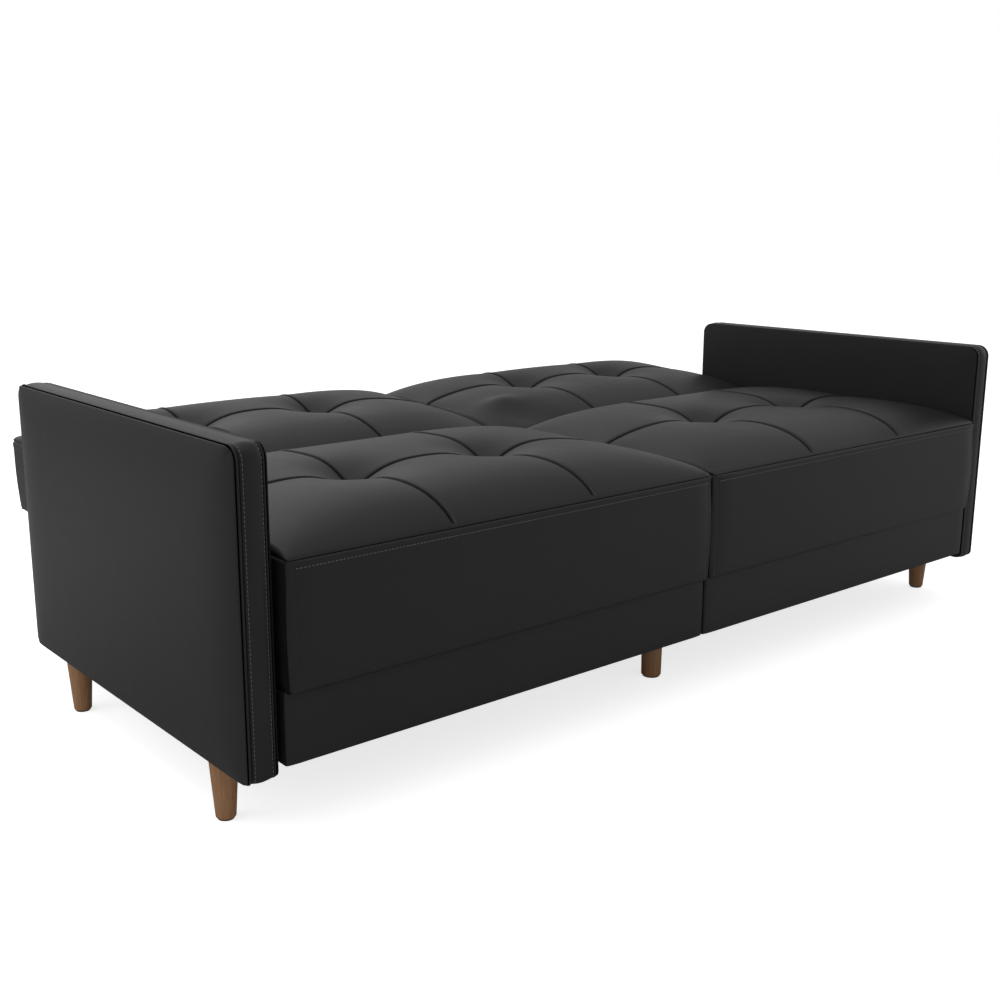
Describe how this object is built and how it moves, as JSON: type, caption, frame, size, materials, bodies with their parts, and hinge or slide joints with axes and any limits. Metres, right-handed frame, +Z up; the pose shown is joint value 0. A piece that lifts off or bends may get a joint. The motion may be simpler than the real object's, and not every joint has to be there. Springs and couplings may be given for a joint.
{
  "type": "futon sofa bed",
  "caption": "Sofa bed with slim padded arms on tapered wooden legs, a split tufted seat and split tufted backs that hinge down flat behind it to make a bed.",
  "frame": {"origin": "on the floor under the middle of the bed laid flat", "axes": "+X to the sofa's right as seen from the front, +Y from the front to the rear, +Z up"},
  "size_m": [2.1, 1.1552, 0.6445],
  "materials": {
    "leatherette": "satin",
    "leg_wood": "satin",
    "frame_wood": "matte",
    "foam": "matte",
    "coil_pocket": "matte",
    "webbing": "matte",
    "dust_cloth": "matte",
    "dark_steel": "satin",
    "steel": "satin",
    "glide": "matte"
  },
  "bodies": {
    "sofa_frame": {"arm_bolts": "steel", "arm_spacers": "frame_wood", "dust_covers": "dust_cloth", "front_centre_leg": "leg_wood", "front_left_leg": "leg_wood", "front_right_leg": "leg_wood", "hinge_rivets": "steel", "hinge_seat_plates": "dark_steel", "hinge_seat_screws": "steel", "joining_bolts": "steel", "left_arm_boxing": "leatherette", "left_arm_frame": "frame_wood", "left_arm_inner_panel": "leatherette", "left_arm_outer_panel": "leatherette", "left_arm_welts": "leatherette", "left_base_cover": "leatherette", "left_base_frame": "frame_wood", "left_seat_coils": "coil_pocket", "left_seat_cover": "leatherette", "left_seat_deck": "frame_wood", "left_seat_foam": "foam", "left_seat_frame": "frame_wood", "leg_glides": "glide", "leg_plates": "dark_steel", "leg_screws": "steel", "leg_studs": "steel", "rear_centre_leg": "leg_wood", "rear_left_leg": "leg_wood", "rear_right_leg": "leg_wood", "right_arm_boxing": "leatherette", "right_arm_frame": "frame_wood", "right_arm_inner_panel": "leatherette", "right_arm_outer_panel": "leatherette", "right_arm_welts": "leatherette", "right_base_cover": "leatherette", "right_base_frame": "frame_wood", "right_seat_coils": "coil_pocket", "right_seat_cover": "leatherette", "right_seat_deck": "frame_wood", "right_seat_foam": "foam", "right_seat_frame": "frame_wood"},
    "left_back": {"left_back_cover": "leatherette", "left_back_foam": "foam", "left_back_frame": "frame_wood", "left_back_rear_panel": "leatherette", "left_back_webbing": "webbing", "left_hinge_back_plates": "dark_steel", "left_hinge_back_screws": "steel"},
    "right_back": {"right_back_cover": "leatherette", "right_back_foam": "foam", "right_back_frame": "frame_wood", "right_back_rear_panel": "leatherette", "right_back_webbing": "webbing", "right_hinge_back_plates": "dark_steel", "right_hinge_back_screws": "steel"},
    "left_inner_pawl": {"left_inner_pawl": "dark_steel"},
    "left_outer_pawl": {"left_outer_pawl": "dark_steel"},
    "right_inner_pawl": {"right_inner_pawl": "dark_steel"},
    "right_outer_pawl": {"right_outer_pawl": "dark_steel"}
  },
  "joints": [
    {"name": "left_back_fold", "type": "hinge", "parent": "sofa_frame", "child": "left_back", "pos_m": [-0.48875, 0.10143, 0.428], "axis": [1, 0, 0], "range_deg": [0, 72.5]},
    {"name": "right_back_fold", "type": "hinge", "parent": "sofa_frame", "child": "right_back", "pos_m": [0.48875, 0.10143, 0.428], "axis": [1, 0, 0], "range_deg": [0, 72.5]},
    {"name": "left_outer_pawl_lift", "type": "hinge", "parent": "left_back", "child": "left_outer_pawl", "pos_m": [-0.9649, 0.13792, 0.4], "axis": [1, 0, 0], "range_deg": [0, 12], "stiffness_Nm_per_rad": 0.05, "springref_deg": -17.19},
    {"name": "left_inner_pawl_lift", "type": "hinge", "parent": "left_back", "child": "left_inner_pawl", "pos_m": [-0.0126, 0.13792, 0.4], "axis": [1, 0, 0], "range_deg": [0, 12], "stiffness_Nm_per_rad": 0.05, "springref_deg": -17.19},
    {"name": "right_outer_pawl_lift", "type": "hinge", "parent": "right_back", "child": "right_outer_pawl", "pos_m": [0.9649, 0.13792, 0.4], "axis": [1, 0, 0], "range_deg": [0, 12], "stiffness_Nm_per_rad": 0.05, "springref_deg": -17.19},
    {"name": "right_inner_pawl_lift", "type": "hinge", "parent": "right_back", "child": "right_inner_pawl", "pos_m": [0.0126, 0.13792, 0.4], "axis": [1, 0, 0], "range_deg": [0, 12], "stiffness_Nm_per_rad": 0.05, "springref_deg": -17.19}
  ]
}
